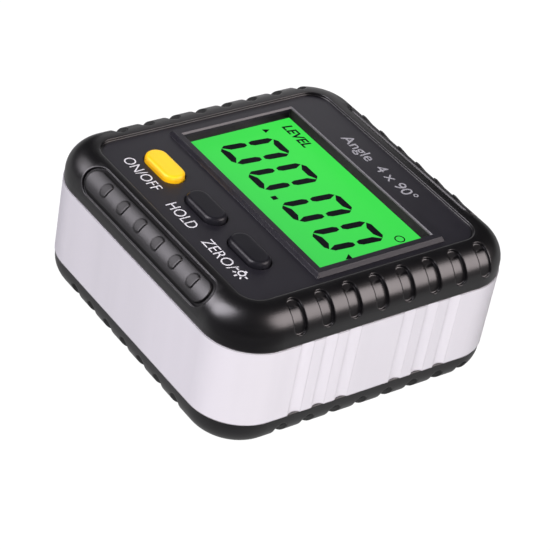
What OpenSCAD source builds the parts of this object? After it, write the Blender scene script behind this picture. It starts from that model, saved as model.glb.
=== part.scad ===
// Digital angle gauge: a square aluminium frame between two moulded covers.
// The front cover holds the backlit display and three keys, the rear cover the battery bay.
// It lies on its back: display up (+Z), reading along +X, top of the reading at +Y.
// The origin is the centre of the back.

/* [Body] */
// Width of the body, along the reading
body_w = 60; // [59:1:76]
// Height of the body, across the reading
body_h = 60; // [59:1:76]
// Corner radius of the frame
corner_r = 9.5; // [8.5:0.5:11]

/* [Frame] */
// Depth of the frame, between the covers
frame_t = 15; // [14:0.5:22]
// Wall of the frame
frame_wall = 3; // [2.7:0.1:3.2]
// Width of a groove in the frame's left and right faces
groove_w = 2.6; // [1.6:0.1:3.4]
// Depth of a groove
groove_d = 0.55; // [0.2:0.05:0.8]
// Distance between neighbouring grooves of a group
groove_pitch = 4.83; // [4:0.1:5.6]
// Distance between the inner grooves of the two groups
groove_gap = 11.4; // [8:0.2:13]
// Grooves in a group
groove_count = 3; // [1:1:3]
// Diameter of a base magnet
magnet_d = 9; // [6:0.5:10]
// Thickness of a base magnet
magnet_t = 2; // [1:0.1:2.2]
// Distance between base magnets
magnet_pitch = 15.5; // [12:0.5:17]

/* [Covers] */
// Height of the front cover's crest over the frame
front_t = 6.5; // [6.2:0.1:8]
// Height of the rear cover below the frame
rear_t = 6; // [5.6:0.1:8]
// How far the covers stand back from the frame's faces
cover_inset = 0.15; // [0.1:0.05:0.4]
// Radius of the covers' rounded rim
rim_r = 5; // [4:0.1:5.4]
// Flat crest between the rim's rounding and the panel
crest_land = 0.6; // [0.3:0.1:1]
// Thickness of the rear cover's back
back_t = 1.8; // [1.5:0.1:2]
// Wall of the spigots that locate the covers in the frame
spigot_t = 1.65; // [1.2:0.05:1.8]
// Depth of the spigots in the frame
spigot_h = 2; // [1:0.1:2.6]
// Play between a spigot and the frame
spigot_gap = 0.15; // [0.05:0.05:0.3]

/* [Rim slots] */
// Slots on a side face's rim
side_slot_count = 8; // [4:1:8]
// Length of the side left free by the row
side_slot_margin = 21.2; // [20:0.2:30]
// How far the side slots' row sits towards the top of the reading
side_slot_shift = 2.25; // [0:0.05:2.5]
// Slots on the rear cover's upper and lower rim
end_slot_count = 7; // [3:1:7]
// Length of that rim left free by the row
end_slot_margin = 27.9; // [22:0.1:34]
// Width of a slot
slot_w = 2.5; // [1.6:0.1:2.8]
// Depth of a slot
slot_d = 0.62; // [0.4:0.02:1.4]
// Angle on the rim where a slot starts
slot_from = 6.5; // [3:0.5:12]
// Angle on the rim where a slot ends
slot_to = 83; // [70:1:86]

/* [Grip pad] */
// Length of the upper and lower rim left free by the pad
pad_margin = 22; // [20:0.5:30]
// Width of the pad across the rim
pad_w = 5.6; // [4.6:0.1:6]
// Width of the groove round the pad
pad_groove_w = 0.75; // [0.5:0.05:1]
// Depth of the groove round the pad
pad_groove_d = 0.5; // [0.2:0.05:0.8]
// Thumbnail marks on the pad
mark_count = 6; // [3:1:6]
// Length of the pad left free by the marks
mark_margin = 11.25; // [10:0.05:18]
// Radius of a mark
mark_r = 1.25; // [0.8:0.05:1.5]
// Width of a mark from its curved to its straight edge
mark_w = 2.05; // [1.2:0.05:2.2]
// Height of a mark at its straight edge
mark_h = 0.22; // [0.1:0.02:0.6]

/* [Panel and display] */
// Depth of the panel below the crest
panel_drop = 0.5; // [0.3:0.05:0.8]
// Thickness of the panel
panel_t = 1.8; // [1.6:0.1:2]
// Panel beside the window
window_side = 3.55; // [3:0.05:6]
// Panel above the window
window_top = 8.8; // [8:0.1:11]
// Panel below the window, where the keys are
key_strip = 16.5; // [15:0.1:19]
// Height of the bezel over the panel
bezel_rise = 0.75; // [0.4:0.05:1.2]
// Flat top of the bezel
bezel_land = 1.12; // [0.8:0.02:1.4]
// Outer slope of the bezel, seen from above
bezel_slope = 0.42; // [0.2:0.02:0.6]
// Inner chamfer of the bezel
bezel_chamfer = 0.3; // [0.15:0.05:0.4]
// Depth of the display's glass below the panel
lcd_depth = 1.45; // [1.1:0.05:1.7]
// Thickness of the display's glass
lcd_t = 1.6; // [1.1:0.1:2]
// Edge of the glass behind the bezel
glass_edge = 1.2; // [0.8:0.1:1.3]
// Ledge of the glass for its contact strip
glass_ledge = 1.8; // [1.5:0.1:2]
// Thickness of the light guide
guide_t = 2.6; // [2:0.1:3.2]

/* [Keys] */
// Length of a key
key_l = 9.3; // [8:0.1:11]
// Width of a key
key_w = 4.3; // [3.8:0.1:5.4]
// Space between keys
key_space = 3.7; // [2.5:0.1:4]
// How far the keys' row sits to the left
key_shift = 0.8; // [0:0.05:1.2]
// Height of the keys' row over the panel's lower edge
key_line = 8.25; // [8:0.05:9]
// Height of a key over the panel
key_rise = 1.1; // [0.9:0.05:2]
// Rounding of a key's top edge
key_round = 0.75; // [0.4:0.05:1.2]
// Gap between a key and its hole
key_gap = 0.16; // [0.12:0.02:0.3]
// Step round a key's hole, width and depth
key_step = 0.1; // [0.05:0.05:0.4]
// Reach of the flange that keeps a key in
key_flange = 0.7; // [0.5:0.05:0.9]
// Travel of a key
key_travel = 0.6; // [0.3:0.05:0.8]

/* [Board] */
// Room between the panel and the board
board_room = 8; // [7.6:0.1:8.2]
// Thickness of the board
board_t = 1.6; // [1:0.1:1.8]
// Side of a switch
switch_w = 6; // [4.5:0.1:6.2]
// Height of a switch's body
switch_h = 3.5; // [3:0.1:4]
// Diameter of a switch's plunger
plunger_d = 3.4; // [2.5:0.1:3.6]
// Height of the plunger over the switch's body
plunger_h = 1.5; // [1.2:0.1:1.8]
// Side of the controller
controller_w = 9; // [6:0.5:10]
// Height of the controller
controller_h = 1.2; // [0.8:0.1:1.5]
// Side of the tilt sensor
sensor_w = 4; // [3:0.5:5]
// Height of the tilt sensor
sensor_h = 1; // [0.7:0.1:1.3]
// Length of a backlight lamp
led_l = 3; // [2:0.1:3.5]
// Width of a backlight lamp
led_w = 1.4; // [1:0.1:2]
// Height of a backlight lamp
led_h = 1.5; // [0.8:0.1:2]

/* [Battery bay] */
// Distance of the bay's ends from the body's sides
bay_margin = 5.65; // [5.3:0.05:8]
// Gap between the bay and the board
bay_gap = 1.4; // [1.2:0.1:3]
// Gap between the cells
cell_gap = 0.7; // [0.4:0.1:1.2]
// Length of a contact spring
spring_l = 3.6; // [3:0.1:3.8]
// Wire of a contact spring
spring_wire = 0.5; // [0.3:0.05:0.7]
// Wall of the battery bay
bay_wall = 1.2; // [1:0.1:1.3]
// Thickness of the battery door
door_t = 1.5; // [1.2:0.05:1.6]
// Depth of the door below the back
door_recess = 0.3; // [0.2:0.05:0.4]
// Gap round the door
door_gap = 0.2; // [0.15:0.01:0.3]

/* [Screws] */
// Gap between the case screws' bosses and the display
boss_gap = 0.35; // [0.2:0.05:0.6]
// Distance of the case screws from the body's sides
screw_inset = 8; // [7.8:0.1:8.4]
// Diameter of a case screw
screw_d = 2.2; // [1.8:0.1:2.4]
// Diameter of a case screw's head
screw_head_d = 4; // [3.4:0.1:4.2]
// Diameter of a board screw
board_screw_d = 1.7; // [1.4:0.1:2]
// Distance of the board screws from the middle
board_screw_x = 10; // [8:0.5:12]

/* [Hidden] */
$fn = 48;

black = [0.17, 0.17, 0.19];
silver = [0.84, 0.84, 0.87];
steel = [0.75, 0.75, 0.78];
yellow = [1, 0.8, 0.12];

// Small overlaps for cuts and joined shapes
bite = 0.4;
cut = 20;

// Levels
frame_z0 = rear_t;
frame_z1 = rear_t + frame_t;
crest_z = frame_z1 + front_t;
panel_z = crest_z - panel_drop;
panel_under_z = panel_z - panel_t;
bezel_z = panel_z + bezel_rise;
key_z = panel_z + key_rise;
lcd_z = panel_z - lcd_depth;
lcd_under_z = lcd_z - lcd_t;
guide_under_z = lcd_under_z - guide_t;
board_z1 = panel_under_z - board_room;
board_z0 = board_z1 - board_t;

// Plan sizes
half_w = body_w / 2;
half_h = body_h / 2;
bore_w = body_w - 2 * frame_wall;
bore_h = body_h - 2 * frame_wall;
bore_r = corner_r - frame_wall;
spigot_w = bore_w - 2 * spigot_gap;
spigot_hh = bore_h - 2 * spigot_gap;
spigot_r = bore_r - spigot_gap;
cavity_w = spigot_w - 2 * spigot_t;
cavity_h = spigot_hh - 2 * spigot_t;
cavity_r = spigot_r - spigot_t;
panel_inset = cover_inset + rim_r + crest_land;
panel_w = body_w - 2 * panel_inset;
panel_h = body_h - 2 * panel_inset;
panel_r = corner_r - panel_inset;

// Rows on the rims
side_slot_pitch = (body_h - side_slot_margin) / (side_slot_count - 1);
end_slot_pitch = (body_w - end_slot_margin) / (end_slot_count - 1);
pad_l = body_w - pad_margin;
mark_pitch = (pad_l - mark_margin) / (mark_count - 1);
mark_lift = 0.27;
mark_shift = 0.6;

// Display
window_w = panel_w - 2 * window_side;
window_h = panel_h - window_top - key_strip;
window_y = (key_strip - window_top) / 2;
glass_w = window_w + 2 * glass_edge;
glass_y0 = window_y - window_h / 2 - glass_edge;
glass_y1 = window_y + window_h / 2 + glass_edge + glass_ledge;
guide_y1 = glass_y1 - glass_ledge;
guide_edge = 0.3;
holder_wall = 0.6;
holder_ledge = 1.2;
fit_gap = 0.1;

// Keys and switches
key_pitch = key_l + key_space;
key_y = panel_h / 2 - key_line;
key_xs = [-key_shift - key_pitch, -key_shift, -key_shift + key_pitch];
flange_gap = 0.1;
flange_t = 0.8;
flange_z1 = panel_under_z - flange_gap;
switch_z1 = board_z1 + switch_h;
plunger_z1 = switch_z1 + plunger_h;
plunger_in = 1;
plunger_play = 0.05;
stem_d = plunger_d + 0.4;

// Battery bay
cell_side = 0.35;
cell_lift = 0.4;
cell_head = 0.3;
contact_t = 0.3;
contact_w = 8;
bay_l = body_w - 2 * bay_margin;
cell_l = bay_l - spring_l - 2 * contact_t;
cell_d = board_z0 - bay_gap - bay_wall - cell_head - cell_lift - back_t;
cell_pitch = cell_d + cell_gap;
bay_w = 2 * cell_d + cell_gap + 2 * cell_side;
cell_z = back_t + cell_lift + cell_d / 2;
bay_z1 = cell_z + cell_d / 2 + cell_head;
cap_d = 3.8;
cap_h = 1.2;
tail_w = 2.5;
door_lip = 1.2;
opening_l = bay_l - 2 * door_lip;
door_l = opening_l - 2 * door_gap;
door_w = bay_w - 2 * door_gap;
door_hinge_y = -door_w / 2;
tongue_x = 14;
tongue_l = 5;
tongue_t = 0.8;
tongue_reach = 1.6;

// Screws
screw_x = half_w - screw_inset;
pillar_r = 2.6;
screw_y = glass_y1 + holder_wall + boss_gap + pillar_r;
pillar_z1 = 2 * frame_z0;
head_h = 1.4;
head_sink = 0.8;
head_play = 0.3;
thread_play = 0.02;
screw_l = 16;
board_boss_r = 2;
board_boss_gap = 0.6;
board_screw_y = cavity_h / 2 - board_boss_r - board_boss_gap;
board_screw_l = 5;
board_head_d = 3.2;
board_head_h = 1;

// Flat shapes

module rounded_rect(w, h, r) {
    square([w - 2 * r, h], center = true);
    square([w, h - 2 * r], center = true);
    for (sx = [-1, 1], sy = [-1, 1])
        translate([sx * (w / 2 - r), sy * (h / 2 - r)])
            circle(r);
}

module stadium(l, w) {
    square([l - w, w], center = true);
    for (s = [-1, 1])
        translate([s * (l - w) / 2, 0])
            circle(w / 2);
}

// Part of a disc between two angles
module sector(r, from, to) {
    intersection() {
        circle(r);
        polygon([[0, 0], 3 * r * [cos(from), sin(from)], 3 * r * [cos(to), sin(to)]]);
    }
}

// Solids shared by several pieces

// Carries a half profile, drawn from a corner's centre outwards, round a rounded square
module around(w, h, r) {
    cx = w / 2 - r;
    cy = h / 2 - r;
    for (k = [0 : 3])
        translate([k == 0 || k == 3 ? cx : -cx, k < 2 ? cy : -cy, 0])
            rotate([0, 0, 90 * k])
                rotate_extrude(angle = 90)
                    children();
    for (k = [0 : 3])
        rotate([0, 0, 90 * k])
            translate([k % 2 == 0 ? cx : cy, 0, 0])
                rotate([90, 0, 0])
                    linear_extrude(height = k % 2 == 0 ? 2 * cy : 2 * cx, center = true)
                        children();
}

// Rim of a cover: straight skirt, quarter round, flat crest
module rim_profile(t) {
    reach = corner_r - cover_inset;
    square([reach, t - rim_r]);
    square([reach - rim_r, t]);
    translate([reach - rim_r, t - rim_r])
        intersection() {
            circle(rim_r);
            square(rim_r);
        }
}

// Outer form of a cover, from its seat on the frame up to its crest
module cover_body(t) {
    around(body_w - 2 * cover_inset, body_h - 2 * cover_inset, corner_r - cover_inset)
        rim_profile(t);
    linear_extrude(height = t)
        square([body_w - 2 * corner_r, body_h - 2 * corner_r], center = true);
}

// Round-ended slot that follows the rim's rounding, with the rim's centre line along Y
module rim_slot() {
    floor_r = rim_r - slot_d;
    reach = rim_r + 2;
    turn = asin(slot_w / 2 / rim_r);
    from = slot_from + turn;
    to = slot_to - turn;
    rotate([90, 0, 0])
        linear_extrude(height = slot_w, center = true)
            difference() {
                sector(reach, from, to);
                circle(floor_r);
            }
    for (a = [from, to])
        rotate([0, 90 - a, 0])
            translate([0, 0, floor_r])
                cylinder(d = slot_w, h = reach - floor_r);
}

// Places children on the rim of one side: k = 0 right, 1 top, 2 left, 3 bottom
module on_rim(k, t) {
    rotate([0, 0, 90 * k])
        translate([(k % 2 == 0 ? half_w : half_h) - cover_inset - rim_r, 0, t - rim_r])
            children();
}

module side_slots(t) {
    for (k = [0, 2], i = [0 : side_slot_count - 1])
        on_rim(k, t)
            translate([0, (k == 0 ? 1 : -1) * (side_slot_shift + (i - (side_slot_count - 1) / 2) * side_slot_pitch), 0])
                rim_slot();
}

module end_slots(t) {
    for (k = [1, 3], i = [0 : end_slot_count - 1])
        on_rim(k, t)
            translate([0, (i - (end_slot_count - 1) / 2) * end_slot_pitch, 0])
                rim_slot();
}

// Groove round the grip pad, cut square to the rim's slope
module pad_groove() {
    intersection() {
        rotate([90, 0, 0])
            linear_extrude(height = pad_l + 2, center = true)
                difference() {
                    circle(rim_r + 2);
                    circle(rim_r - pad_groove_d);
                }
        rotate([0, 45, 0])
            linear_extrude(height = rim_r + 2)
                rotate(90)
                    difference() {
                        stadium(pad_l, pad_w);
                        stadium(pad_l - 2 * pad_groove_w, pad_w - 2 * pad_groove_w);
                    }
    }
}

// Thumbnail mark: a disc that rises along the rim and is cut off at a straight step
module pad_mark() {
    rotate([0, 45, 0])
        intersection() {
            translate([-mark_lift, 0, rim_r - mark_r])
                linear_extrude(height = 2 * mark_r)
                    difference() {
                        circle(mark_r);
                        translate([-mark_r, mark_w - mark_r])
                            square(2 * mark_r);
                    }
            translate([0, -mark_r, 0])
                rotate([atan(mark_h / mark_w), 0, 0])
                    rotate([-90, 0, 0])
                        translate([0, 0, -mark_r])
                            cylinder(r = rim_r, h = 4 * mark_r);
        }
}

module pad_grooves(t) {
    for (k = [1, 3])
        on_rim(k, t)
            pad_groove();
}

module pad_marks(t) {
    for (k = [1, 3], i = [0 : mark_count - 1])
        on_rim(k, t)
            translate([0, (i - (mark_count - 1) / 2) * mark_pitch + mark_shift, 0])
                pad_mark();
}

module at_screws() {
    for (sx = [-1, 1], sy = [-1, 1])
        translate([sx * screw_x, sy * screw_y, 0])
            children();
}

module at_board_screws() {
    for (sx = [-1, 1], sy = [-1, 1])
        translate([sx * board_screw_x, sy * board_screw_y, 0])
            children();
}

module at_magnets() {
    for (i = [-1 : 1])
        translate([i * magnet_pitch, -half_h + frame_wall, frame_z0 + frame_t / 2])
            rotate([90, 0, 0])
                children();
}

// Rectangular block with sloping sides, as the overlap of two prisms
module frustum(w0, h0, w1, h1, z0, z1) {
    intersection() {
        rotate([90, 0, 0])
            linear_extrude(height = 2 * h0 + 2 * h1, center = true)
                polygon([[-w0 / 2, z0], [w0 / 2, z0], [w1 / 2, z1], [-w1 / 2, z1]]);
        rotate([90, 0, 90])
            linear_extrude(height = 2 * w0 + 2 * w1, center = true)
                polygon([[-h0 / 2, z0], [h0 / 2, z0], [h1 / 2, z1], [-h1 / 2, z1]]);
    }
}

// Frame

module aluminium_frame() {
    groove_r = (groove_w * groove_w / 4 + groove_d * groove_d) / (2 * groove_d);
    color(silver)
        difference() {
            translate([0, 0, frame_z0])
                linear_extrude(height = frame_t)
                    difference() {
                        rounded_rect(body_w, body_h, corner_r);
                        rounded_rect(bore_w, bore_h, bore_r);
                    }
            for (sx = [-1, 1], sy = [-1, 1], i = [0 : groove_count - 1])
                translate([sx * (half_w - groove_d + groove_r), sy * (groove_gap / 2 + i * groove_pitch), frame_z0 - 1])
                    cylinder(r = groove_r, h = frame_t + 2);
            at_magnets()
                translate([0, 0, -bite])
                    cylinder(d = magnet_d + fit_gap, h = magnet_t + bite);
        }
}

module base_magnets() {
    color(steel)
        at_magnets()
            cylinder(d = magnet_d, h = magnet_t);
}

// Front cover

module bezel() {
    base = 2 * (bezel_chamfer + bezel_land + bezel_slope);
    top = 2 * (bezel_chamfer + bezel_land);
    slope_run = base - top;
    sink = slope_run * bite / bezel_rise;
    translate([0, window_y, 0])
        frustum(window_w + base + sink, window_h + base + sink, window_w + top, window_h + top,
            panel_z - bite, bezel_z);
}

module window_cut() {
    translate([0, window_y, 0]) {
        translate([0, 0, panel_under_z + cut / 2])
            cube([window_w, window_h, 2 * cut], center = true);
        frustum(window_w, window_h, window_w + 4 * bezel_chamfer, window_h + 4 * bezel_chamfer,
            bezel_z - bezel_chamfer, bezel_z + bezel_chamfer);
    }
}

module key_holes() {
    for (x = key_xs)
        translate([x, -key_y, 0]) {
            translate([0, 0, panel_under_z - bite])
                linear_extrude(height = panel_t + 2 * bite)
                    stadium(key_l + 2 * key_gap, key_w + 2 * key_gap);
            translate([0, 0, panel_z - key_step])
                linear_extrude(height = key_step + bite)
                    stadium(key_l + 2 * key_gap + 2 * key_step, key_w + 2 * key_gap + 2 * key_step);
        }
}

module lcd_pocket() {
    translate([-glass_w / 2 - fit_gap, glass_y0 - fit_gap, panel_under_z - bite])
        cube([glass_w + 2 * fit_gap, glass_y1 - glass_y0 + 2 * fit_gap, lcd_z - panel_under_z + bite]);
}

module front_bosses() {
    difference() {
        union() {
            at_screws()
                translate([0, 0, pillar_z1])
                    cylinder(r = pillar_r, h = panel_under_z - pillar_z1 + bite);
            at_board_screws()
                translate([0, 0, board_z1])
                    cylinder(r = board_boss_r, h = panel_under_z - board_z1 + bite);
        }
        at_screws()
            translate([0, 0, pillar_z1 - bite])
                cylinder(d = screw_d + 2 * thread_play, h = screw_l - pillar_z1 + head_sink + head_h + 2 * bite);
        at_board_screws()
            translate([0, 0, board_z1 - bite])
                cylinder(d = board_screw_d + 2 * thread_play, h = board_screw_l);
    }
}

module front_cover() {
    color(black) {
        difference() {
            union() {
                difference() {
                    translate([0, 0, frame_z1])
                        cover_body(front_t);
                    translate([0, 0, panel_z])
                        linear_extrude(height = cut)
                            rounded_rect(panel_w, panel_h, panel_r);
                }
                translate([0, 0, frame_z1 - spigot_h])
                    linear_extrude(height = spigot_h + bite)
                        rounded_rect(spigot_w, spigot_hh, spigot_r);
                bezel();
                translate([0, 0, frame_z1])
                    pad_marks(front_t);
            }
            translate([0, 0, panel_under_z - cut])
                linear_extrude(height = cut)
                    rounded_rect(cavity_w, cavity_h, cavity_r);
            window_cut();
            lcd_pocket();
            key_holes();
            translate([0, 0, frame_z1]) {
                side_slots(front_t);
                pad_grooves(front_t);
            }
        }
        front_bosses();
    }
}

// Keys and switches

// Half section of a key: straight sides, rounded upper edge
module key_profile(h) {
    r = key_w / 2;
    square([r, h - key_round]);
    square([r - key_round, h]);
    translate([r - key_round, h - key_round])
        intersection() {
            circle(key_round);
            square(key_round);
        }
}

module key_cap(x, paint) {
    h = key_z - flange_z1;
    reach = (key_l - key_w) / 2;
    color(paint)
        translate([x, -key_y, 0]) {
            translate([0, 0, flange_z1]) {
                for (s = [0, 1])
                    rotate([0, 0, 180 * s])
                        translate([reach, 0, 0])
                            rotate([0, 0, -90])
                                rotate_extrude(angle = 180)
                                    key_profile(h);
                for (s = [0, 1])
                    rotate([90, 0, 90])
                        linear_extrude(height = 2 * reach, center = true)
                            mirror([s, 0])
                                key_profile(h);
            }
            translate([0, 0, flange_z1 - flange_t])
                linear_extrude(height = flange_t)
                    stadium(key_l + 2 * key_flange, key_w + 2 * key_flange);
            translate([0, 0, plunger_z1])
                cylinder(d = stem_d, h = flange_z1 - flange_t - plunger_z1);
        }
}

module key_power() {
    key_cap(key_xs[0], yellow);
}

module key_hold() {
    key_cap(key_xs[1], black);
}

module key_zero() {
    key_cap(key_xs[2], black);
}

module plunger(x) {
    color(black)
        translate([x, -key_y, switch_z1 - plunger_in])
            cylinder(d = plunger_d, h = plunger_in + plunger_h);
}

module plunger_power() {
    plunger(key_xs[0]);
}

module plunger_hold() {
    plunger(key_xs[1]);
}

module plunger_zero() {
    plunger(key_xs[2]);
}

module switch_bodies() {
    well = plunger_in + key_travel + fit_gap;
    color(steel)
        for (x = key_xs)
            translate([x, -key_y, board_z1])
                difference() {
                    translate([-switch_w / 2, -switch_w / 2, 0])
                        cube([switch_w, switch_w, switch_h]);
                    translate([0, 0, switch_h - well])
                        cylinder(d = plunger_d + 2 * plunger_play, h = well + bite);
                }
}

// Display

module lcd_panel() {
    color([0.27, 0.86, 0.33])
        translate([-glass_w / 2, glass_y0, lcd_under_z])
            cube([glass_w, glass_y1 - glass_y0, lcd_t]);
}

module light_guide() {
    color([0.9, 0.95, 0.9])
        translate([-glass_w / 2 + guide_edge, glass_y0 + guide_edge, guide_under_z])
            cube([glass_w - 2 * guide_edge, guide_y1 - glass_y0 - 2 * guide_edge, guide_t]);
}

module lcd_holder() {
    outer_w = glass_w + 2 * holder_wall;
    color([0.9, 0.9, 0.88])
        difference() {
            translate([-outer_w / 2, glass_y0 - holder_wall, board_z1])
                cube([outer_w, glass_y1 - glass_y0 + 2 * holder_wall, lcd_under_z - board_z1]);
            translate([-glass_w / 2 + guide_edge - fit_gap, glass_y0 + guide_edge - fit_gap, guide_under_z])
                cube([glass_w - 2 * guide_edge + 2 * fit_gap, guide_y1 - glass_y0 - 2 * guide_edge + 2 * fit_gap, cut]);
            translate([-glass_w / 2 + holder_ledge, glass_y0 + holder_ledge, board_z1 - bite])
                cube([glass_w - 2 * holder_ledge, guide_y1 - glass_y0 - 2 * holder_ledge, cut]);
            translate([-glass_w / 2 + holder_ledge - fit_gap, guide_y1, board_z1 - bite])
                cube([glass_w - 2 * holder_ledge + 2 * fit_gap, glass_ledge, cut]);
        }
}

module contact_strip() {
    color([0.55, 0.4, 0.45])
        translate([-glass_w / 2 + holder_ledge, guide_y1 + fit_gap, board_z1])
            cube([glass_w - 2 * holder_ledge, glass_ledge - 2 * fit_gap, lcd_under_z - board_z1]);
}

// Board

module main_board() {
    edge = 0.6;
    color([0.1, 0.35, 0.2])
        translate([0, 0, board_z0])
            linear_extrude(height = board_t)
                difference() {
                    square([cavity_w - 2 * edge, cavity_h - 2 * edge], center = true);
                    at_screws()
                        circle(pillar_r + edge);
                    for (sx = [-1, 1], sy = [-1, 1])
                        translate([sx * (screw_x + cut / 2), sy * (screw_y + cut / 2)])
                            square(cut, center = true);
                    at_board_screws()
                        circle(d = board_screw_d + 4 * fit_gap);
                }
}

module controller_chip() {
    color(black)
        translate([-window_w / 8 - controller_w / 2, window_y - controller_w / 2, board_z1])
            cube([controller_w, controller_w, controller_h]);
}

module tilt_sensor() {
    color(black)
        translate([window_w / 5 - sensor_w / 2, window_y - sensor_w / 2, board_z1])
            cube([sensor_w, sensor_w, sensor_h]);
}

module backlight_leds() {
    color([0.95, 0.95, 0.85])
        for (s = [-1, 1])
            translate([s * window_w / 3 - led_l / 2, window_y - led_w / 2, board_z1])
                cube([led_l, led_w, led_h]);
}

// Rear cover and battery bay

// Box of the bay, open at the back
module bay_box() {
    translate([0, 0, back_t - bite])
        linear_extrude(height = bay_z1 + bay_wall - back_t + bite)
            square([bay_l + 2 * bay_wall, bay_w + 2 * bay_wall], center = true);
}

module bay_hollow() {
    translate([0, 0, back_t])
        linear_extrude(height = bay_z1 - back_t)
            square([bay_l, bay_w], center = true);
    translate([0, 0, -bite])
        linear_extrude(height = back_t + 2 * bite)
            square([opening_l, bay_w], center = true);
}

// Room for the door's tongues to swing
module tongue_pockets() {
    room = 0.4;
    for (s = [-1, 1])
        translate([s * tongue_x, -bay_w / 2, back_t + tongue_t])
            cube([tongue_l + 2 * room, 2 * tongue_reach + 3 * room, 2 * tongue_t + room], center = true);
}

module rear_cover() {
    color(black)
        difference() {
            union() {
                difference() {
                    union() {
                        translate([0, 0, frame_z0])
                            mirror([0, 0, 1])
                                cover_body(rear_t);
                        translate([0, 0, frame_z0 - bite])
                            linear_extrude(height = spigot_h + bite)
                                rounded_rect(spigot_w, spigot_hh, spigot_r);
                    }
                    translate([0, 0, back_t])
                        linear_extrude(height = cut)
                            rounded_rect(cavity_w, cavity_h, cavity_r);
                    translate([0, 0, frame_z0])
                        mirror([0, 0, 1]) {
                            side_slots(rear_t);
                            end_slots(rear_t);
                        }
                }
                bay_box();
                at_screws()
                    translate([0, 0, back_t - bite])
                        cylinder(r = pillar_r, h = pillar_z1 - back_t + bite);
            }
            bay_hollow();
            tongue_pockets();
            for (s = [-1, 1])
                translate([bay_l / 2 - contact_t - fit_gap, s * cell_pitch / 2 - tail_w / 2 - fit_gap, bay_z1 - bite])
                    cube([contact_t + 2 * fit_gap, tail_w + 2 * fit_gap, bay_wall + 2 * bite]);
            at_screws() {
                translate([0, 0, -bite])
                    cylinder(d = screw_d + 2 * fit_gap, h = pillar_z1 + 2 * bite);
                translate([0, 0, -bite])
                    cylinder(d = screw_head_d + 2 * head_play, h = head_sink + head_h + bite);
            }
        }
}

module battery_door() {
    grip_l = 12;
    rib = 0.5;
    color(black)
        difference() {
            union() {
                translate([-door_l / 2, -door_w / 2, door_recess])
                    cube([door_l, door_w, door_t]);
                for (s = [-1, 1]) {
                    translate([s * tongue_x - tongue_l / 2, door_hinge_y - tongue_reach, back_t + fit_gap])
                        cube([tongue_l, 2 * tongue_reach, tongue_t]);
                    translate([s * tongue_x - tongue_l / 2, door_hinge_y + fit_gap, door_recess + door_t - bite])
                        cube([tongue_l, 2 * tongue_reach - tongue_reach - fit_gap, back_t - door_recess - door_t + bite + fit_gap + tongue_t]);
                }
            }
            for (i = [0 : 3])
                translate([-grip_l / 2, door_w / 2 - 2 - 2 * i * rib * 1.6, door_recess - bite])
                    cube([grip_l, rib, bite + rib]);
        }
}

// A cell along X with its cap at the +X end
module cell() {
    rotate([0, 90, 0])
        rotate_extrude() {
            square([cell_d / 2, cell_l - cap_h]);
            square([cap_d / 2, cell_l]);
        }
}

module battery_a() {
    color([0.2, 0.25, 0.3])
        translate([-bay_l / 2 + contact_t + spring_l, cell_pitch / 2, cell_z])
            cell();
}

module battery_b() {
    color([0.2, 0.25, 0.3])
        translate([bay_l / 2 - contact_t - spring_l, -cell_pitch / 2, cell_z])
            mirror([1, 0, 0])
                cell();
}

module terminal_plates() {
    color(steel)
        for (s = [-1, 1])
            translate([bay_l / 2 - contact_t, s * cell_pitch / 2, 0]) {
                translate([0, -contact_w / 2, cell_z - contact_w / 2])
                    cube([contact_t, contact_w, contact_w]);
                translate([0, -tail_w / 2, cell_z])
                    cube([contact_t, tail_w, board_z0 - cell_z]);
            }
}

module link_plate() {
    color(steel)
        translate([-bay_l / 2, -cell_pitch / 2 - contact_w / 2, cell_z - contact_w / 2])
            cube([contact_t, cell_pitch + contact_w, contact_w]);
}

// Conical coil along +X, swept as rings of a round wire
function coil_ring(t, sides, r0, r1, turns, len, wire) =
    [for (j = [0 : sides - 1])
        let (a = 360 * turns * t, b = 360 * j / sides, r = r0 + (r1 - r0) * t + wire / 2 * cos(b))
            [wire / 2 + (len - wire) * t + wire / 2 * sin(b), r * cos(a), r * sin(a)]];

module coil(r0, r1, turns, len, wire) {
    sides = 6;
    rings = 14 * turns;
    points = [for (i = [0 : rings]) each coil_ring(i / rings, sides, r0, r1, turns, len, wire)];
    walls = [for (i = [0 : rings - 1], j = [0 : sides - 1])
        let (k = (j + 1) % sides)
            [i * sides + j, i * sides + k, (i + 1) * sides + k, (i + 1) * sides + j]];
    start = [[for (j = [0 : sides - 1]) sides - 1 - j]];
    end = [[for (j = [0 : sides - 1]) rings * sides + j]];
    polyhedron(points, concat(walls, start, end));
}

module contact_spring() {
    play = 0.05;
    translate([play, 0, 0])
        coil(contact_w / 2 - spring_wire, cap_d / 2 + spring_wire, 3, spring_l - 2 * play, spring_wire);
}

module contact_springs() {
    color(steel) {
        translate([-bay_l / 2 + contact_t, cell_pitch / 2, cell_z])
            contact_spring();
        translate([bay_l / 2 - contact_t, -cell_pitch / 2, cell_z])
            mirror([1, 0, 0])
                contact_spring();
    }
}

// Screws

// Pan head with a cross recess, pointing up
module screw(d, head_d, head_h, l) {
    cross_w = d / 4;
    difference() {
        union() {
            cylinder(d = head_d, h = head_h);
            cylinder(d = d, h = head_h + l);
        }
        for (a = [0, 90])
            rotate([0, 0, a])
                translate([-head_d / 3, -cross_w / 2, -bite])
                    cube([2 * head_d / 3, cross_w, bite + head_h / 2]);
    }
}

module case_screws() {
    color(steel)
        at_screws()
            translate([0, 0, head_sink])
                screw(screw_d, screw_head_d, head_h, screw_l);
}

module board_screws() {
    color(steel)
        at_board_screws()
            translate([0, 0, board_z0 - board_head_h])
                screw(board_screw_d, board_head_d, board_head_h, board_screw_l - bite);
}

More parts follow.
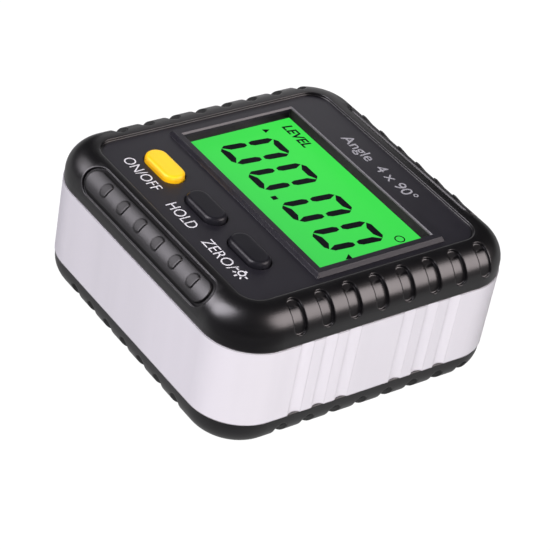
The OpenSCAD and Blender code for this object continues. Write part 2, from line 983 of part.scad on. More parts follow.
aluminium_frame();
front_cover();
rear_cover();
battery_door();
key_power();
key_hold();
key_zero();
plunger_power();
plunger_hold();
plunger_zero();
switch_bodies();
lcd_panel();
light_guide();
lcd_holder();
contact_strip();
main_board();
controller_chip();
tilt_sensor();
backlight_leds();
battery_a();
battery_b();
terminal_plates();
link_plate();
contact_springs();
base_magnets();
case_screws();
board_screws();
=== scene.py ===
import math

import bpy
import numpy as np
from mathutils import Euler, Matrix, Vector


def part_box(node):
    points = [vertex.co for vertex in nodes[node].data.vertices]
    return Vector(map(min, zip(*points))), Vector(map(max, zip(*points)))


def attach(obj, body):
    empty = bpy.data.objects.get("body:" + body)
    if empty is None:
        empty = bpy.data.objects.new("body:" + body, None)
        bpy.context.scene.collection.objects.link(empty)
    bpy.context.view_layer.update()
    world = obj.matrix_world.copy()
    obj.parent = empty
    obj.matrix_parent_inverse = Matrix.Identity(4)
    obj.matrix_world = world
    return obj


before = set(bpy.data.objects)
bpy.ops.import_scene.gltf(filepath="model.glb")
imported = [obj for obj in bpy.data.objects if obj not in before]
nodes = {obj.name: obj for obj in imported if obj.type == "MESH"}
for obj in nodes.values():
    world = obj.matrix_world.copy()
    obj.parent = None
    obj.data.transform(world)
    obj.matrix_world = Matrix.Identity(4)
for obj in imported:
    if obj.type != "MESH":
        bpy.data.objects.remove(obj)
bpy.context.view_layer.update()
mm = 0.001
print("frame loaded:", len(nodes), "pieces")


# small helpers for node trees

def addNode(tree, kind, **settings):
    made = tree.nodes.new(kind)
    for name, value in settings.items():
        setattr(made, name, value)
    return made


def wire(tree, start, end):
    tree.links.new(start, end)


def feed(tree, given, socket):
    # a socket is wired in, and a plain value is set
    if isinstance(given, bpy.types.NodeSocket):
        wire(tree, given, socket)
    else:
        socket.default_value = given


def mathNode(tree, operation, *given, clamp=False):
    made = addNode(tree, "ShaderNodeMath", operation=operation, use_clamp=clamp)
    for value, socket in zip(given, made.inputs):
        feed(tree, value, socket)
    return made.outputs["Value"]


def vectorNode(tree, operation, *given):
    made = addNode(tree, "ShaderNodeVectorMath", operation=operation)
    for value, socket in zip(given, made.inputs):
        feed(tree, value, socket)
    return made.outputs["Value" if operation in ("DOT_PRODUCT", "LENGTH") else "Vector"]


def mixIn(tree, kind, mask, first, second):
    # second where the mask is one and first elsewhere, each given as a socket or as a plain value
    made = addNode(tree, "ShaderNodeMix", data_type=kind)
    wire(tree, mask, made.inputs["Factor"])
    feed(tree, first, made.inputs["A"])
    feed(tree, second, made.inputs["B"])
    return made.outputs["Result"]


def mapRange(tree, value, start, end, low=0.0, high=1.0):
    # the range from start to end carried into the range from low to high, and held at its ends
    made = addNode(tree, "ShaderNodeMapRange")
    for name, number in (("From Min", start), ("From Max", end), ("To Min", low), ("To Max", high)):
        made.inputs[name].default_value = number
    wire(tree, value, made.inputs["Value"])
    return made.outputs["Result"]


def colourRamp(tree, factor, stops):
    ramp = addNode(tree, "ShaderNodeValToRGB")
    while len(ramp.color_ramp.elements) < len(stops):
        ramp.color_ramp.elements.new(0.5)
    for element, (place, colour) in zip(ramp.color_ramp.elements, stops):
        element.position = place
        element.color = (*colour, 1)
    wire(tree, factor, ramp.inputs["Fac"])
    return ramp.outputs["Color"]


def newGroup(name, inputs, outputs):
    group = bpy.data.node_groups.new(name, "ShaderNodeTree")
    for label, kind, value in inputs:
        socket = group.interface.new_socket(name=label, in_out="INPUT", socket_type=kind)
        socket.default_value = value
    for label, kind in outputs:
        group.interface.new_socket(name=label, in_out="OUTPUT", socket_type=kind)
    return group, addNode(group, "NodeGroupInput"), addNode(group, "NodeGroupOutput")


def useGroup(tree, group, **values):
    made = addNode(tree, "ShaderNodeGroup", node_tree=group)
    for name, value in values.items():
        made.inputs[name].default_value = value
    return made


def newMaterial(name):
    material = bpy.data.materials.new(name)
    material.use_nodes = True
    tree = material.node_tree
    return material, tree, tree.nodes["Principled BSDF"]


# shared effects

grainDetail = {"Height": 2.0, "Mottle": 4.0}


def buildGrain():
    # fine moulded or blasted texture: two noises of the object's own coordinates,
    # where Size is one grain and Patch one blotch, in metres
    group, given, put = newGroup("grain",
        [("Size", "NodeSocketFloat", 0.0002), ("Patch", "NodeSocketFloat", 0.008),
            ("Stretch", "NodeSocketVector", (1, 1, 1))],
        [("Height", "NodeSocketFloat"), ("Mottle", "NodeSocketFloat")])
    place = addNode(group, "ShaderNodeTexCoord").outputs["Object"]
    stretched = vectorNode(group, "MULTIPLY", place, given.outputs["Stretch"])
    for size, result in (("Size", "Height"), ("Patch", "Mottle")):
        noise = addNode(group, "ShaderNodeTexNoise")
        noise.inputs["Detail"].default_value = grainDetail[result]
        wire(group, stretched, noise.inputs["Vector"])
        wire(group, mathNode(group, "DIVIDE", 1.0, given.outputs[size]), noise.inputs["Scale"])
        wire(group, noise.outputs["Fac"], put.inputs[result])
    return group


def buildEdgeWearShade():
    # mask of edges for the edge tone, which is wear on most finishes and painted shade along the aluminium's
    # groove edges: how far the rounded normal turns from the flat one, broken up by the mottle
    group, given, put = newGroup("edgeWearShade",
        [("Rounded", "NodeSocketVector", (0, 0, 1)), ("Mottle", "NodeSocketFloat", 0.5),
            ("Reach", "NodeSocketFloat", 4.0)],
        [("Mask", "NodeSocketFloat")])
    flat = addNode(group, "ShaderNodeNewGeometry").outputs["Normal"]
    along = vectorNode(group, "DOT_PRODUCT", flat, given.outputs["Rounded"])
    turn = mathNode(group, "SUBTRACT", 1.0, along)
    broken = mathNode(group, "MULTIPLY", turn, given.outputs["Mottle"])
    mask = mathNode(group, "MULTIPLY", broken, given.outputs["Reach"], clamp=True)
    wire(group, mask, put.inputs["Mask"])
    return group


def buildZoneMask():
    # one over a zone with rounded corners, seen from above: the distance past Half round Centre
    # is under Round, and the height is over Low
    group, given, put = newGroup("zoneMask",
        [("Centre", "NodeSocketVector", (0, 0, 0)), ("Half", "NodeSocketVector", (0.02, 0.02, 1)),
            ("Round", "NodeSocketFloat", 0.004), ("Low", "NodeSocketFloat", 0.0268)],
        [("Mask", "NodeSocketFloat")])
    place = addNode(group, "ShaderNodeTexCoord").outputs["Object"]
    offset = vectorNode(group, "SUBTRACT", place, given.outputs["Centre"])
    past = vectorNode(group, "SUBTRACT", vectorNode(group, "ABSOLUTE", offset), given.outputs["Half"])
    distance = vectorNode(group, "LENGTH", vectorNode(group, "MAXIMUM", past, (0, 0, 0)))
    near = mathNode(group, "LESS_THAN", distance, given.outputs["Round"])
    axes = addNode(group, "ShaderNodeSeparateXYZ")
    wire(group, place, axes.inputs["Vector"])
    high = mathNode(group, "GREATER_THAN", axes.outputs["Z"], given.outputs["Low"])
    wire(group, mathNode(group, "MULTIPLY", near, high), put.inputs["Mask"])
    return group


def buildCalm():
    # normal with its axes scaled by Keep and made unit length again,
    # so that steps across an axis with a small Keep show less
    group, given, put = newGroup("calm",
        [("Normal", "NodeSocketVector", (0, 0, 1)), ("Keep", "NodeSocketVector", (1, 1, 1))],
        [("Normal", "NodeSocketVector")])
    scaled = vectorNode(group, "MULTIPLY", given.outputs["Normal"], given.outputs["Keep"])
    wire(group, vectorNode(group, "NORMALIZE", scaled), put.inputs["Normal"])
    return group


grainGroup = buildGrain()
edgeWearShadeGroup = buildEdgeWearShade()
zoneMaskGroup = buildZoneMask()
calmGroup = buildCalm()


# finishes of the solids and the print

finishRule = {"mottleLow": 0.3, "mottleHigh": 0.7, "toneSwing": 0.05, "bumpShare": 0.25,
    "edgeSamples": 16, "coatRough": 0.2}


def mottled(tree, mottle, dark, light):
    # colour that follows the mottle's middle range from dark to light
    return colourRamp(tree, mottle, [(finishRule["mottleLow"], dark), (finishRule["mottleHigh"], light)])


def spread(tree, mottle, low, high):
    # value that follows the mottle's middle range from low to high
    return mapRange(tree, mottle, finishRule["mottleLow"], finishRule["mottleHigh"], low, high)


def finishMaterial(name, look):
    # one moulded, metal or printed finish: tone and roughness follow the mottle, zones change them
    # in places, and edges are rounded and given an edge tone, which is wear on most finishes and painted
    # shade on the aluminium
    material, tree, shader = newMaterial(name)
    grain = useGroup(tree, grainGroup, Size=look["grain"], Patch=look["patch"],
        Stretch=look.get("stretch", (1, 1, 1)))
    mottle = grain.outputs["Mottle"]
    base = mottled(tree, mottle, look["dark"], look["light"])
    roughness = spread(tree, mottle, *look["rough"])
    radius = look.get("edge", 0.0)
    keep = look.get("keep", (1, 1, 1))
    for zone in look.get("zones", ()):
        mask = useGroup(tree, zoneMaskGroup, Centre=zone["centre"], Half=zone["half"],
            Round=zone["round"], Low=zone["low"]).outputs["Mask"]
        if "tone" in zone:
            dark = [(1 - finishRule["toneSwing"]) * c for c in zone["tone"]]
            light = [(1 + finishRule["toneSwing"]) * c for c in zone["tone"]]
            base = mixIn(tree, "RGBA", mask, base, mottled(tree, mottle, dark, light))
        if "rough" in zone:
            roughness = mixIn(tree, "FLOAT", mask, roughness, spread(tree, mottle, *zone["rough"]))
        if "edge" in zone:
            radius = mixIn(tree, "FLOAT", mask, radius, zone["edge"])
        if "keep" in zone:
            keep = mixIn(tree, "VECTOR", mask, keep, zone["keep"])
    bump = addNode(tree, "ShaderNodeBump")
    bump.inputs["Strength"].default_value = look["bump"]
    bump.inputs["Distance"].default_value = finishRule["bumpShare"] * look["grain"]
    wire(tree, grain.outputs["Height"], bump.inputs["Height"])
    if "edge" in look:
        rounded = addNode(tree, "ShaderNodeBevel", samples=finishRule["edgeSamples"])
        feed(tree, radius, rounded.inputs["Radius"])
        calm = useGroup(tree, calmGroup)
        feed(tree, keep, calm.inputs["Keep"])
        wire(tree, rounded.outputs["Normal"], calm.inputs["Normal"])
        wire(tree, calm.outputs["Normal"], bump.inputs["Normal"])
        wearShadeReach = useGroup(tree, edgeWearShadeGroup, Reach=look["wearShadeReach"])
        wire(tree, rounded.outputs["Normal"], wearShadeReach.inputs["Rounded"])
        wire(tree, mottle, wearShadeReach.inputs["Mottle"])
        # edge tone mixed in at the edges: wear where it is lighter, and painted shade where it is darker, as
        # along the aluminium's groove edges
        base = mixIn(tree, "RGBA", wearShadeReach.outputs["Mask"], base, (*look["wearShadeTone"], 1))
    wire(tree, base, shader.inputs["Base Color"])
    wire(tree, roughness, shader.inputs["Roughness"])
    wire(tree, bump.outputs["Normal"], shader.inputs["Normal"])
    shader.inputs["Metallic"].default_value = look.get("metal", 0.0)
    shader.inputs["Specular IOR Level"].default_value = look.get("shine", 0.5)
    shader.inputs["Coat Weight"].default_value = look.get("coat", 0.0)
    shader.inputs["Coat Roughness"].default_value = finishRule["coatRough"]
    return material


# places with a finish of their own, and places with painted light (the display well and the yellow key's
# top), in metres
panelZone = {"centre": (0, 0, 0), "half": (0.02, 0.02, 1), "round": 0.004, "low": 0.0268,
    "tone": (0.0088, 0.0083, 0.0122), "rough": (0.38, 0.42), "edge": 0.00004}
# walls of the display well: a dark olive tone that paints the green spill of the backlit film
wellGreenSpillZone = {"centre": (0, 0.00385, 0), "half": (0.02055, 0.01165, 1), "round": 0.0001, "low": 0.024,
    "tone": (0.004, 0.0075, 0.003), "rough": (0.57, 0.63)}
slopeZone = {"centre": (0, -0.00938, 0), "half": (0.0226, 0.0002, 1), "round": 0.0001, "low": 0.02703,
    "rough": (0.22, 0.26)}
padZones = [
    {"centre": (0, side * 0.02785, 0), "half": (0.0185, 0.0019, 1), "round": 0.0004, "low": 0.0225,
        "rough": (0.39, 0.43)}
    for side in (-1, 1)
]
grooveZone = {"centre": (0, 0, 0), "half": (0.031, 0.0205, 1), "round": 0.0001, "low": 0.0,
    "keep": (1, 0.5, 0.2)}
# yellow key's top: a lighter, yellower tone than its sides, which is painted light falling on the top
capLitZone = {"centre": (0, 0, 0), "half": (0.03, 0.03, 1), "round": 0.0001, "low": 0.02785,
    "tone": (0.88, 0.54, 0.009)}

looks = {
    # the aluminium's edge tone is darker than its face, so its edges and groove edges get painted shade
    "satinAluminium": {"dark": (0.76, 0.75, 0.79), "light": (0.83, 0.815, 0.86), "wearShadeTone": (0.5, 0.49, 0.52),
        "rough": (0.40, 0.48), "grain": 0.00012, "patch": 0.012, "stretch": (1, 1, 0.08), "bump": 0.1,
        "edge": 0.0005, "wearShadeReach": 10.0, "keep": (1, 1, 0.2), "metal": 0.3, "zones": (grooveZone,)},
    "charcoalCover": {"dark": (0.0028, 0.0027, 0.003), "light": (0.0036, 0.0035, 0.004),
        "wearShadeTone": (0.03, 0.029, 0.033), "rough": (0.29, 0.33), "grain": 0.00016, "patch": 0.006, "bump": 0.02,
        "edge": 0.0004, "wearShadeReach": 0.3, "shine": 0.8, "zones": (panelZone, wellGreenSpillZone, slopeZone, *padZones)},
    "doorPlastic": {"dark": (0.009, 0.009, 0.01), "light": (0.012, 0.0118, 0.013),
        "wearShadeTone": (0.04, 0.04, 0.043), "rough": (0.38, 0.46), "grain": 0.0002, "patch": 0.006, "bump": 0.2,
        "edge": 0.00015, "wearShadeReach": 0.8},
    "yellowKey": {"dark": (0.78, 0.42, 0.006), "light": (0.84, 0.46, 0.008), "wearShadeTone": (0.9, 0.62, 0.06),
        "rough": (0.34, 0.42), "grain": 0.00014, "patch": 0.004, "bump": 0.05, "edge": 0.0001, "wearShadeReach": 0.3,
        "shine": 0.35, "zones": (capLitZone,)},
    "blackKey": {"dark": (0.0082, 0.0080, 0.0105), "light": (0.0106, 0.0104, 0.0132),
        "wearShadeTone": (0.02, 0.02, 0.022), "rough": (0.30, 0.36), "grain": 0.00014, "patch": 0.004, "bump": 0.02,
        "edge": 0.0001, "wearShadeReach": 0.2, "shine": 0.3},
    "clearPlastic": {"dark": (0.75, 0.82, 0.76), "light": (0.85, 0.92, 0.86), "wearShadeTone": (0.95, 0.98, 0.95),
        "rough": (0.1, 0.2), "grain": 0.0003, "patch": 0.006, "bump": 0.04, "edge": 0.0001, "wearShadeReach": 0.5},
    "whitePlastic": {"dark": (0.72, 0.72, 0.69), "light": (0.8, 0.8, 0.77), "wearShadeTone": (0.9, 0.9, 0.88),
        "rough": (0.4, 0.5), "grain": 0.0002, "patch": 0.006, "bump": 0.1, "edge": 0.0001, "wearShadeReach": 0.5},
    "stripRubber": {"dark": (0.3, 0.16, 0.2), "light": (0.42, 0.26, 0.3), "wearShadeTone": (0.5, 0.35, 0.4),
        "rough": (0.5, 0.6), "grain": 0.0001, "patch": 0.0004, "stretch": (4, 1, 0.2), "bump": 0.1,
        "edge": 0.00005, "wearShadeReach": 0.3},
    "boardLaminate": {"dark": (0.01, 0.09, 0.035), "light": (0.02, 0.2, 0.075), "wearShadeTone": (0.35, 0.3, 0.12),
        "rough": (0.3, 0.42), "grain": 0.0004, "patch": 0.0016, "stretch": (1, 3, 1), "bump": 0.1,
        "edge": 0.0001, "wearShadeReach": 0.6},
    "chipPlastic": {"dark": (0.01, 0.01, 0.011), "light": (0.016, 0.016, 0.018), "wearShadeTone": (0.05, 0.05, 0.05),
        "rough": (0.45, 0.55), "grain": 0.0001, "patch": 0.002, "bump": 0.15, "edge": 0.0001, "wearShadeReach": 0.6},
    "cellSleeve": {"dark": (0.028, 0.042, 0.06), "light": (0.04, 0.058, 0.08), "wearShadeTone": (0.5, 0.5, 0.52),
        "rough": (0.24, 0.34), "grain": 0.0004, "patch": 0.006, "bump": 0.04, "edge": 0.0003, "wearShadeReach": 1.5,
        "coat": 0.3},
    "contactMetal": {"dark": (0.62, 0.61, 0.58), "light": (0.74, 0.73, 0.7), "wearShadeTone": (0.85, 0.85, 0.84),
        "rough": (0.2, 0.32), "grain": 0.0002, "patch": 0.003, "bump": 0.08, "edge": 0.00005, "wearShadeReach": 0.6,
        "metal": 1.0},
    "screwMetal": {"dark": (0.5, 0.5, 0.52), "light": (0.66, 0.66, 0.68), "wearShadeTone": (0.8, 0.8, 0.82),
        "rough": (0.26, 0.36), "grain": 0.00015, "patch": 0.002, "bump": 0.1, "edge": 0.0001, "wearShadeReach": 1.0,
        "metal": 1.0},
    "magnetMetal": {"dark": (0.6, 0.59, 0.56), "light": (0.7, 0.69, 0.66), "wearShadeTone": (0.82, 0.82, 0.8),
        "rough": (0.14, 0.24), "grain": 0.0003, "patch": 0.004, "bump": 0.04, "edge": 0.0001, "wearShadeReach": 0.6,
        "metal": 1.0},
    "labelInk": {"dark": (0.54, 0.54, 0.56), "light": (0.66, 0.66, 0.68), "rough": (0.4, 0.5),
        "grain": 0.0001, "patch": 0.0008, "bump": 0.1},
    "fadedInk": {"dark": (0.22, 0.22, 0.24), "light": (0.30, 0.30, 0.32), "rough": (0.4, 0.5),
        "grain": 0.0001, "patch": 0.0008, "bump": 0.1},
    "segmentInk": {"dark": (0.003, 0.003, 0.005), "light": (0.005, 0.005, 0.007), "rough": (0.35, 0.45),
        "grain": 0.0001, "patch": 0.001, "bump": 0.05, "shine": 0.05},
}
materials = {name: finishMaterial(name, look) for name, look in looks.items()}

filmLook = {"low": (0.05, 0.62, 0.088), "high": (0.046, 0.76, 0.075), "from": 0.2, "to": 1.0,
    "slope": (-8, 22, 0), "lift": 0.4, "uneven": 0.2, "grain": 0.0001, "patch": 0.004,
    "unlit": (0.04, 0.04, 0.04), "glow": 1.0, "rough": 0.35, "shine": 0.15}


def buildFilm():
    # backlit display film: green that is a little brighter towards the upper left
    material, tree, shader = newMaterial("displayFilm")
    place = addNode(tree, "ShaderNodeTexCoord").outputs["Object"]
    slope = vectorNode(tree, "DOT_PRODUCT", place, filmLook["slope"])
    lift = mathNode(tree, "ADD", slope, filmLook["lift"])
    grain = useGroup(tree, grainGroup, Size=filmLook["grain"], Patch=filmLook["patch"])
    level = mathNode(tree, "MULTIPLY_ADD", grain.outputs["Mottle"], filmLook["uneven"], lift, clamp=True)
    stops = [(filmLook["from"], filmLook["low"]), (filmLook["to"], filmLook["high"])]
    green = colourRamp(tree, level, stops)
    unlit = addNode(tree, "ShaderNodeMix", data_type="RGBA", blend_type="MULTIPLY")
    unlit.inputs["Factor"].default_value = 1.0
    unlit.inputs["B"].default_value = (*filmLook["unlit"], 1)
    wire(tree, green, unlit.inputs["A"])
    wire(tree, unlit.outputs["Result"], shader.inputs["Base Color"])
    wire(tree, green, shader.inputs["Emission Color"])
    shader.inputs["Emission Strength"].default_value = filmLook["glow"]
    shader.inputs["Roughness"].default_value = filmLook["rough"]
    shader.inputs["Specular IOR Level"].default_value = filmLook["shine"]
    return material


materials["displayFilm"] = buildFilm()
print("finishes made:", len(materials))

nodeFinish = {
    "aluminium_frame": "satinAluminium", "front_cover": "charcoalCover", "rear_cover": "charcoalCover",
    "battery_door": "doorPlastic", "key_power": "yellowKey", "key_hold": "blackKey", "key_zero": "blackKey",
    "plunger_power": "chipPlastic", "plunger_hold": "chipPlastic", "plunger_zero": "chipPlastic",
    "switch_bodies": "contactMetal", "lcd_panel": "displayFilm", "light_guide": "clearPlastic",
    "lcd_holder": "whitePlastic", "contact_strip": "stripRubber", "main_board": "boardLaminate",
    "controller_chip": "chipPlastic", "tilt_sensor": "chipPlastic", "backlight_leds": "clearPlastic",
    "battery_a": "cellSleeve", "battery_b": "cellSleeve", "terminal_plates": "contactMetal",
    "link_plate": "contactMetal", "contact_springs": "contactMetal", "base_magnets": "magnetMetal",
    "case_screws": "screwMetal", "board_screws": "screwMetal",
}
for name, finish in nodeFinish.items():
    nodes[name].data.materials.clear()
    nodes[name].data.materials.append(materials[finish])
# the green on the walls of the display well is painted by the cover's well tone instead of lit by the film
nodes["lcd_panel"].visible_glossy = False  # the matt walls round the film take no green from it
nodes["lcd_panel"].visible_diffuse = False
print("finishes on the solids:", len(nodeFinish))


# flat printed pieces, worked out in millimetres

def addPiece(name, solid, finish):
    points, faces = solid
    mesh = bpy.data.meshes.new(name)
    mesh.from_pydata((points * mm).tolist(), [], faces)
    mesh.update()
    mesh.materials.append(materials[finish])
    piece = bpy.data.objects.new(name, mesh)
    bpy.context.scene.collection.objects.link(piece)
    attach(piece, "case")


def plateSolid(outlines, low, high):
    # each outline, counter-clockwise in plan, carried straight up from low to high and closed at both ends
    points, faces, base = [], [], 0
    for outline in outlines:
        count = len(outline)
        ring = np.arange(count)
        following = np.roll(ring, -1)
        points += [np.c_[outline, np.full(count, level)] for level in (low, high)]
        faces += (np.c_[ring, following, following + count, ring + count] + base).tolist()
        faces += [(ring[::-1] + base).tolist(), (ring + count + base).tolist()]
        base += 2 * count
    return np.concatenate(points), faces


ringSteps = 48


def ringSolid(look, low, high):
    # rectangle section, from inner to outer and from low to high, turned once round the centre
    angle = np.linspace(0, 2 * math.pi, ringSteps, endpoint=False)[:, None]
    reach = np.array([look["inner"], look["inner"], look["outer"], look["outer"]])
    height = np.tile([high, low, low, high], (ringSteps, 1))
    x = look["x"] + np.cos(angle) * reach
    y = look["y"] + np.sin(angle) * reach
    points = np.stack([x, y, height], axis=-1).reshape(-1, 3)
    corners = len(reach)
    i, j = np.meshgrid(np.arange(ringSteps), np.arange(corners), indexing="ij")
    here = i * corners
    ahead = (i + 1) % ringSteps * corners
    nextJ = (j + 1) % corners
    faces = np.stack([ahead + j, ahead + nextJ, here + nextJ, here + j], axis=-1)
    return points, faces.reshape(-1, corners).tolist()


def joinSolids(*solids):
    # several solids as one, each one's faces counted on from the points before it
    points, faces, base = [], [], 0
    for solidPoints, solidFaces in solids:
        points.append(solidPoints)
        faces += [(np.array(face) + base).tolist() for face in solidFaces]
        base += len(solidPoints)
    return np.concatenate(points), faces


letterForm = {"capTop": 0.729, "tails": "gjpqy,", "curveSteps": 6}


def wordsSolid(look, low, high):
    # letters filled flat, scaled to reach from left to right over the given cap height,
    # and carried straight up from low to high
    curve = bpy.data.curves.new("letters", "FONT")
    curve.body = look["words"]
    curve.shear = look.get("shear", 0.0)
    curve.offset = look["thicker"]
    curve.extrude = 1.0  # only tells top from bottom, and the heights are set below
    curve.resolution_u = letterForm["curveSteps"]
    holder = bpy.data.objects.new("letters", curve)
    bpy.context.scene.collection.objects.link(holder)
    bpy.context.view_layer.update()
    mesh = holder.to_mesh()
    flatPoints = np.zeros(len(mesh.vertices) * 3, np.float32)
    mesh.vertices.foreach_get("co", flatPoints)
    points = flatPoints.reshape(-1, 3).astype(float)
    faces = [list(polygon.vertices) for polygon in mesh.polygons]
    holder.to_mesh_clear()
    bpy.data.objects.remove(holder)
    bpy.data.curves.remove(curve)
    inkLow = points.min(0)
    inkHigh = points.max(0)
    hasTails = any(letter in letterForm["tails"] for letter in look["words"])
    capLow = 0.0 if hasTails else inkLow[1]
    capTop = letterForm["capTop"] if hasTails else inkHigh[1]
    reach = look["right"] - look["left"]
    points[:, 0] = look["left"] + (points[:, 0] - inkLow[0]) * reach / (inkHigh[0] - inkLow[0])
    points[:, 1] = look["baseline"] + (points[:, 1] - capLow) * look["cap"] / (capTop - capLow)
    points[:, 2] = np.where(points[:, 2] > 0, high, low)
    return points, faces


# labels on the sunk panel

panelTop = 27.0  # height of the sunk panel
inkRise = 0.02  # print stands this far out of what carries it, and goes as deep
printLevels = (panelTop - inkRise, panelTop + inkRise)
labels = {
    "onOff": {"words": "ON/OFF", "left": -18.8, "right": -8.8, "baseline": -21.55, "cap": 2.08,
        "thicker": -0.006, "ink": "labelInk"},
    "hold": {"words": "HOLD", "left": -4.55, "right": 2.8, "baseline": -21.75, "cap": 2.15,
        "thicker": -0.006, "ink": "labelInk"},
    "zero": {"words": "ZERO/", "left": 6.5, "right": 14.85, "baseline": -21.9, "cap": 2.1,
        "thicker": -0.006, "ink": "labelInk"},
    "range": {"words": "Angle  4 x 90°", "left": -10.1, "right": 10.3, "baseline": 19.0, "cap": 2.35,
        "thicker": 0.004, "ink": "fadedInk"},
}
lampSign = {"x": 16.45, "y": -20.36, "inner": 0.46, "outer": 0.74, "neckWidth": 0.5, "neckRoot": 0.703,
    "neckTop": 1.02, "rayFrom": 0.97, "rayTo": 1.57, "rayWidth": 0.3, "rays": 5}


def raySet(look):
    # short bars spread evenly round the lower half of the lamp's ring, and its neck above
    turn = math.pi + np.linspace(0, math.pi, look["rays"])
    halfRay = look["rayWidth"] / 2
    bar = np.array([
        (look["rayFrom"], -halfRay), (look["rayTo"], -halfRay),
        (look["rayTo"], halfRay), (look["rayFrom"], halfRay),
    ])
    x = np.cos(turn)[:, None] * bar[:, 0] - np.sin(turn)[:, None] * bar[:, 1]
    y = np.sin(turn)[:, None] * bar[:, 0] + np.cos(turn)[:, None] * bar[:, 1]
    halfNeck = look["neckWidth"] / 2
    neck = np.array([
        (-halfNeck, look["neckRoot"]), (halfNeck, look["neckRoot"]),
        (halfNeck, look["neckTop"]), (-halfNeck, look["neckTop"]),
    ])
    return [outline + (look["x"], look["y"]) for outline in (*np.stack([x, y], axis=-1), neck)]


for name, label in labels.items():
    addPiece("label_" + name, wordsSolid(label, *printLevels), label["ink"])
lampSolid = joinSolids(ringSolid(lampSign, *printLevels), plateSolid(raySet(lampSign), *printLevels))
addPiece("label_light", lampSolid, "labelInk")
print("labels printed:", len(labels) + 1)


# reading on the display

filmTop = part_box("lcd_panel")[1][2] / mm
readingLevels = (filmTop - inkRise, filmTop + inkRise)
digits = {"centres": (-13.97, -5.49, 4.52, 13.27), "y": 3.58, "climb": 0.019, "slant": 0.092,
    "width": 6.08, "height": 11.7, "stroke": 1.42, "corner": 0.66, "chamfer": 0.71, "mitre": 0.568,
    "middle": 0.34, "point": 0.73, "flat": 0.35}


def digitOutlines(look):
    # six bars of a nought: ends mitred towards the corners, sides pointed at mid height,
    # then slanted and set on a row that climbs a little
    w = look["width"] / 2
    h = look["height"] / 2
    stroke = look["stroke"]
    gap = look["corner"]
    cut = look["chamfer"]
    mitre = look["mitre"]
    middle = look["middle"]
    shoulder = middle + look["point"]
    flat = look["flat"]
    top = np.array([
        (-w + gap, h - mitre), (-w + stroke + gap, h - stroke), (w - stroke - gap, h - stroke),
        (w - gap, h - mitre), (w - gap - cut, h), (-w + gap + cut, h),
    ])
    side = np.array([
        (-w, shoulder), (-w + flat, middle), (-w + stroke - flat, middle), (-w + stroke, shoulder),
        (-w + stroke, h - stroke - gap), (-w + mitre, h - gap), (-w, h - gap - cut),
    ])
    leftLow = (side * [1, -1])[::-1]
    rightHigh = (side * [-1, 1])[::-1]
    bars = [top, (top * [1, -1])[::-1], side, rightHigh, leftLow, side * [-1, -1]]
    outlines = []
    for centre in look["centres"]:
        rise = look["y"] + look["climb"] * centre
        for bar in bars:
            outlines.append(np.c_[centre + bar[:, 0] + look["slant"] * bar[:, 1], bar[:, 1] + rise])
    return outlines


addPiece("reading_digits", plateSolid(digitOutlines(digits), *readingLevels), "segmentInk")

marks = {
    "point": [(-1.3, -2.2), (-0.27, -2.2), (-0.22, -1.15), (-1.25, -1.15)],
    "leftArrow": [(-19.30, 8.42), (-18.10, 8.51), (-18.79, 9.73)],
    "rightArrow": [(18.62, -0.55), (18.9, 0.75), (17.55, 0.8)],
}
degree = {"x": 17.55, "y": 11.75, "inner": 0.72, "outer": 0.95}
levelWord = {"words": "LEVEL", "left": -18.7, "right": -11.5, "baseline": 12.3, "cap": 2.05, "shear": 0.15,
    "thicker": 0.022}
markSolid = joinSolids(
    plateSolid([np.array(corners) for corners in marks.values()], *readingLevels),
    ringSolid(degree, *readingLevels),
    wordsSolid(levelWord, *readingLevels))
addPiece("reading_marks", markSolid, "segmentInk")
print("reading shown:", len(digits["centres"]), "digits")


# floor, light and camera

floorLook = {"reach": 3.0, "drop": 0.00005, "dark": (0.049, 0.049, 0.05096), "light": (0.05, 0.05, 0.052),
    "grain": 0.002, "patch": 0.4, "rough": 0.8, "shine": 0.1, "seen": 0.99, "soft": 0.1,
    "way": (0.74, -0.67, 0), "from": -0.02, "to": 0.08,
    "cast": ((0.2, 0.3), (0.5, 0.4), (0.62, 0.26), (0.72, 0.13), (0.83, 0.03))}


def buildFloor():
    # white table: full white where seen, and a glow cast on the part that fades towards the viewer
    material, tree, shader = newMaterial("paleFloor")
    grain = useGroup(tree, grainGroup, Size=floorLook["grain"], Patch=floorLook["patch"])
    tone = mottled(tree, grain.outputs["Mottle"], floorLook["dark"], floorLook["light"])
    wire(tree, tone, shader.inputs["Base Color"])
    place = addNode(tree, "ShaderNodeTexCoord").outputs["Object"]
    along = vectorNode(tree, "DOT_PRODUCT", place, floorLook["way"])
    fade = mapRange(tree, along, floorLook["from"], floorLook["to"])
    cast = colourRamp(tree, fade, [(step, (level,) * 3) for step, level in floorLook["cast"]])
    path = addNode(tree, "ShaderNodeLightPath")
    given = mixIn(tree, "FLOAT", path.outputs["Is Glossy Ray"], floorLook["soft"], cast)
    glow = mixIn(tree, "FLOAT", path.outputs["Is Camera Ray"], given, floorLook["seen"])
    shader.inputs["Emission Color"].default_value = (1, 1, 1, 1)
    wire(tree, glow, shader.inputs["Emission Strength"])
    shader.inputs["Roughness"].default_value = floorLook["rough"]
    shader.inputs["Specular IOR Level"].default_value = floorLook["shine"]
    side = addNode(tree, "ShaderNodeNewGeometry")  # open from below, so that the back can be seen
    clear = addNode(tree, "ShaderNodeBsdfTransparent")
    oneSided = addNode(tree, "ShaderNodeMixShader")
    wire(tree, side.outputs["Backfacing"], oneSided.inputs[0])
    wire(tree, shader.outputs["BSDF"], oneSided.inputs[1])
    wire(tree, clear.outputs["BSDF"], oneSided.inputs[2])
    wire(tree, oneSided.outputs["Shader"], tree.nodes["Material Output"].inputs["Surface"])
    r = floorLook["reach"]
    low = -floorLook["drop"]
    mesh = bpy.data.meshes.new("floor")
    mesh.from_pydata([(-r, -r, low), (r, -r, low), (r, r, low), (-r, r, low)], [], [(0, 1, 2, 3)])
    mesh.materials.append(material)
    floor = bpy.data.objects.new("floor", mesh)
    bpy.context.scene.collection.objects.link(floor)


buildFloor()

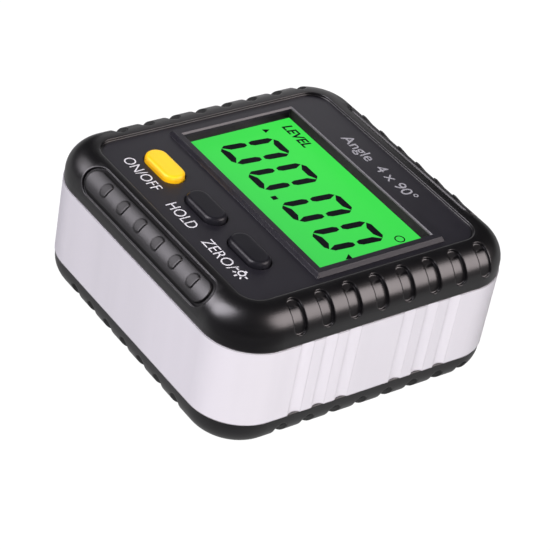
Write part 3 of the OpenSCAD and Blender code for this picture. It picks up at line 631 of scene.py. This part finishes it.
lamps = {
    "leftBox": {"towards": (-0.34, -0.63, 0.70), "distance": 0.8, "size": (0.46, 0.75), "power": 6.3,
        "tint": (0.97, 0.92, 1.0), "shines": True, "fills": True},
    "leftWing": {"towards": (-0.66, -0.46, 0.60), "distance": 0.8, "size": (0.5, 0.55), "power": 1.0,
        "tint": (1.0, 0.95, 1.0), "shines": True, "fills": False},
    "rightBox": {"towards": (0.58, 0.545, 0.605), "distance": 0.8, "size": (0.62, 0.66), "power": 5.2,
        "tint": (1.0, 0.895, 0.9), "shines": True, "fills": False},
    "backCard": {"towards": (-0.75, 0.52, 0.42), "distance": 0.14, "size": (0.1, 0.1), "power": 0.015,
        "tint": (1.0, 0.98, 1.0), "shines": True, "fills": True},
    "frontCard": {"towards": (0.82, -0.33, 0.46), "distance": 0.55, "size": (0.42, 0.42), "power": 4.4,
        "tint": (1.0, 0.955, 0.975), "shines": False, "fills": True},
    "backFill": {"towards": (-0.68, 0.62, 0.37), "distance": 0.8, "size": (0.6, 0.6), "power": 4.0,
        "tint": (1.0, 0.97, 0.99), "shines": False, "fills": True},
}


def buildLamps():
    # oval soft boxes aimed at the part: those that shine show in gloss, and those that fill light the rest
    for name, lamp in lamps.items():
        data = bpy.data.lights.new(name, "AREA")
        data.shape = "ELLIPSE"
        data.size, data.size_y = lamp["size"]
        data.energy = lamp["power"]
        data.color = lamp["tint"]
        made = bpy.data.objects.new(name, data)
        bpy.context.scene.collection.objects.link(made)
        made.location = Vector(lamp["towards"]).normalized() * lamp["distance"]
        made.rotation_euler = made.location.to_track_quat("Z", "Y").to_euler()
        made.visible_glossy = lamp["shines"]
        made.visible_diffuse = lamp["fills"]


buildLamps()

worldLook = {"tint": (0.95, 0.94, 1.0), "light": 0.02, "seen": 0.8}


def buildWorld():
    # pale where it is looked at, and dim as a light
    world = bpy.data.worlds.new("studio")
    bpy.context.scene.world = world
    world.use_nodes = True
    tree = world.node_tree
    sky = tree.nodes["Background"]
    sky.inputs["Color"].default_value = (*worldLook["tint"], 1)
    path = addNode(tree, "ShaderNodeLightPath")
    strength = mapRange(tree, path.outputs["Is Camera Ray"], 0.0, 1.0, worldLook["light"], worldLook["seen"])
    wire(tree, strength, sky.inputs["Strength"])


buildWorld()

# seen from the right front and 36 degrees up, a little rolled: place in metres, turn in degrees
cameraLook = {"place": (0.232377, -0.203643, 0.234456), "turn": (53.3818, -8.989, 55.2285), "lens": 142.49,
    "sensor": 36.0, "near": 0.01}


def buildCamera():
    data = bpy.data.cameras.new("viewer")
    data.sensor_width = cameraLook["sensor"]
    data.lens = cameraLook["lens"]
    data.clip_start = cameraLook["near"]
    viewer = bpy.data.objects.new("viewer", data)
    bpy.context.scene.collection.objects.link(viewer)
    turn = Euler([math.radians(angle) for angle in cameraLook["turn"]])
    viewer.matrix_world = Matrix.LocRotScale(Vector(cameraLook["place"]), turn, None)
    bpy.context.scene.camera = viewer


buildCamera()
bpy.context.scene.view_settings.view_transform = "Standard"
print("floor, lamps and camera placed")
